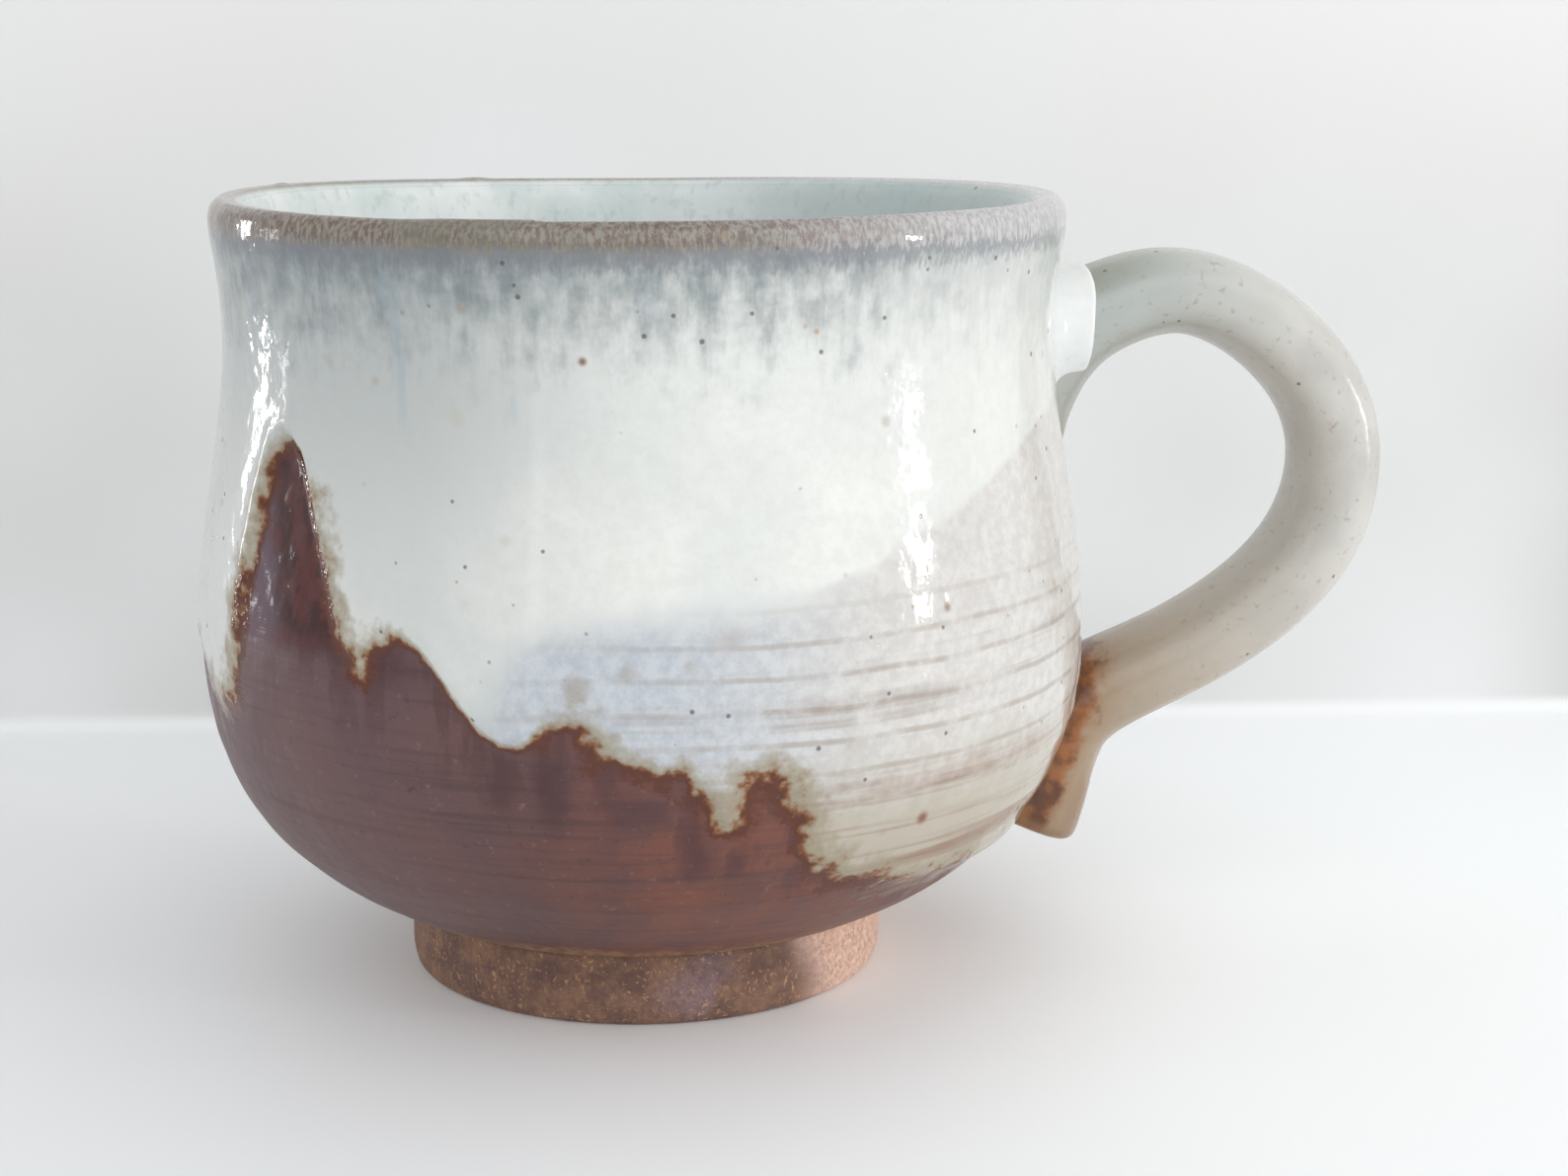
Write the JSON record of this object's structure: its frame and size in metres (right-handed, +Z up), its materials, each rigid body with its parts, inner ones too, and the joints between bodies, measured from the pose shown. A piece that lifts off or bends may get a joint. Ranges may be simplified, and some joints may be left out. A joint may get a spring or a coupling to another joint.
{
  "type": "ceramic mug",
  "caption": "Hand-thrown stoneware mug: a waisted bowl with a round belly on a turned foot, with an ear-shaped strap handle, under white, brown and beige glaze coats.",
  "frame": {"origin": "on the bowl's axis, in the plane of the foot ring's flat underside", "axes": "+Z up along the bowl's axis, +X towards the handle"},
  "size_m": [0.1262, 0.092, 0.081],
  "materials": {
    "bowl_clay": "matt",
    "foot_clay": "matt",
    "handle_clay": "matt",
    "upper_slip": "gloss",
    "lower_slip": "gloss",
    "liner_coat": "gloss",
    "rim_coat": "gloss",
    "white_coat": "gloss",
    "pale_coat": "satin",
    "iron_coat": "satin",
    "handle_coat": "gloss"
  },
  "bodies": {
    "root": {"bowl": "bowl_clay", "foot_ring": "foot_clay", "handle": "handle_clay", "upper_lute": "upper_slip", "lower_lute": "lower_slip", "liner_glaze": "liner_coat", "rim_glaze": "rim_coat", "white_glaze": "white_coat", "pale_glaze": "pale_coat", "iron_glaze": "iron_coat", "handle_glaze": "handle_coat"}
  },
  "joints": []
}
